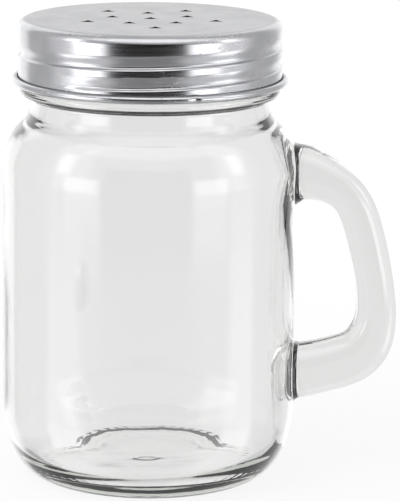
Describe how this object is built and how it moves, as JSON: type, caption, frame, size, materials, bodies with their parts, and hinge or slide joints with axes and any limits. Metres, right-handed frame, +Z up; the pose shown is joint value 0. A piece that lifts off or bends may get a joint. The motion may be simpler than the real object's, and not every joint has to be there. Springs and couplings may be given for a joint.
{
  "type": "salt shaker",
  "caption": "Handled clear glass jar shaker with a punched steel screw lid that unscrews and rises off its threaded mouth.",
  "frame": {"origin": "middle of the flat ring that the jar rests on, on the axis of the jar and of its lid", "axes": "+Z up along the jar's axis, +X towards the handle, -Y towards the side that the picture shows"},
  "size_m": [0.0743, 0.0548, 0.0863],
  "materials": {
    "clear_glass": "pressed clear soda-lime glass, fire-polished",
    "lid_steel": "bright rolled and stamped stainless steel sheet",
    "seal_compound": "satin flowed-in sealing compound"
  },
  "bodies": {
    "jar": {"glass_jar": "clear_glass"},
    "seal": {"sealing_ring": "seal_compound"},
    "lid": {"shaker_lid": "lid_steel"}
  },
  "joints": [
    {"name": "lid_lift", "type": "slide", "parent": "jar", "child": "seal", "axis": [0, 0, 1], "range_m": [0, 0.0185]},
    {"name": "lid_turn", "type": "hinge", "parent": "seal", "child": "lid", "pos_m": [0, 0, 0.0863], "axis": [0, 0, 1], "range_deg": [0, 1800]}
  ],
  "couplings": [
    {"joint": "lid_lift", "follows": "lid_turn", "m_per_rad": 0.00058887}
  ]
}
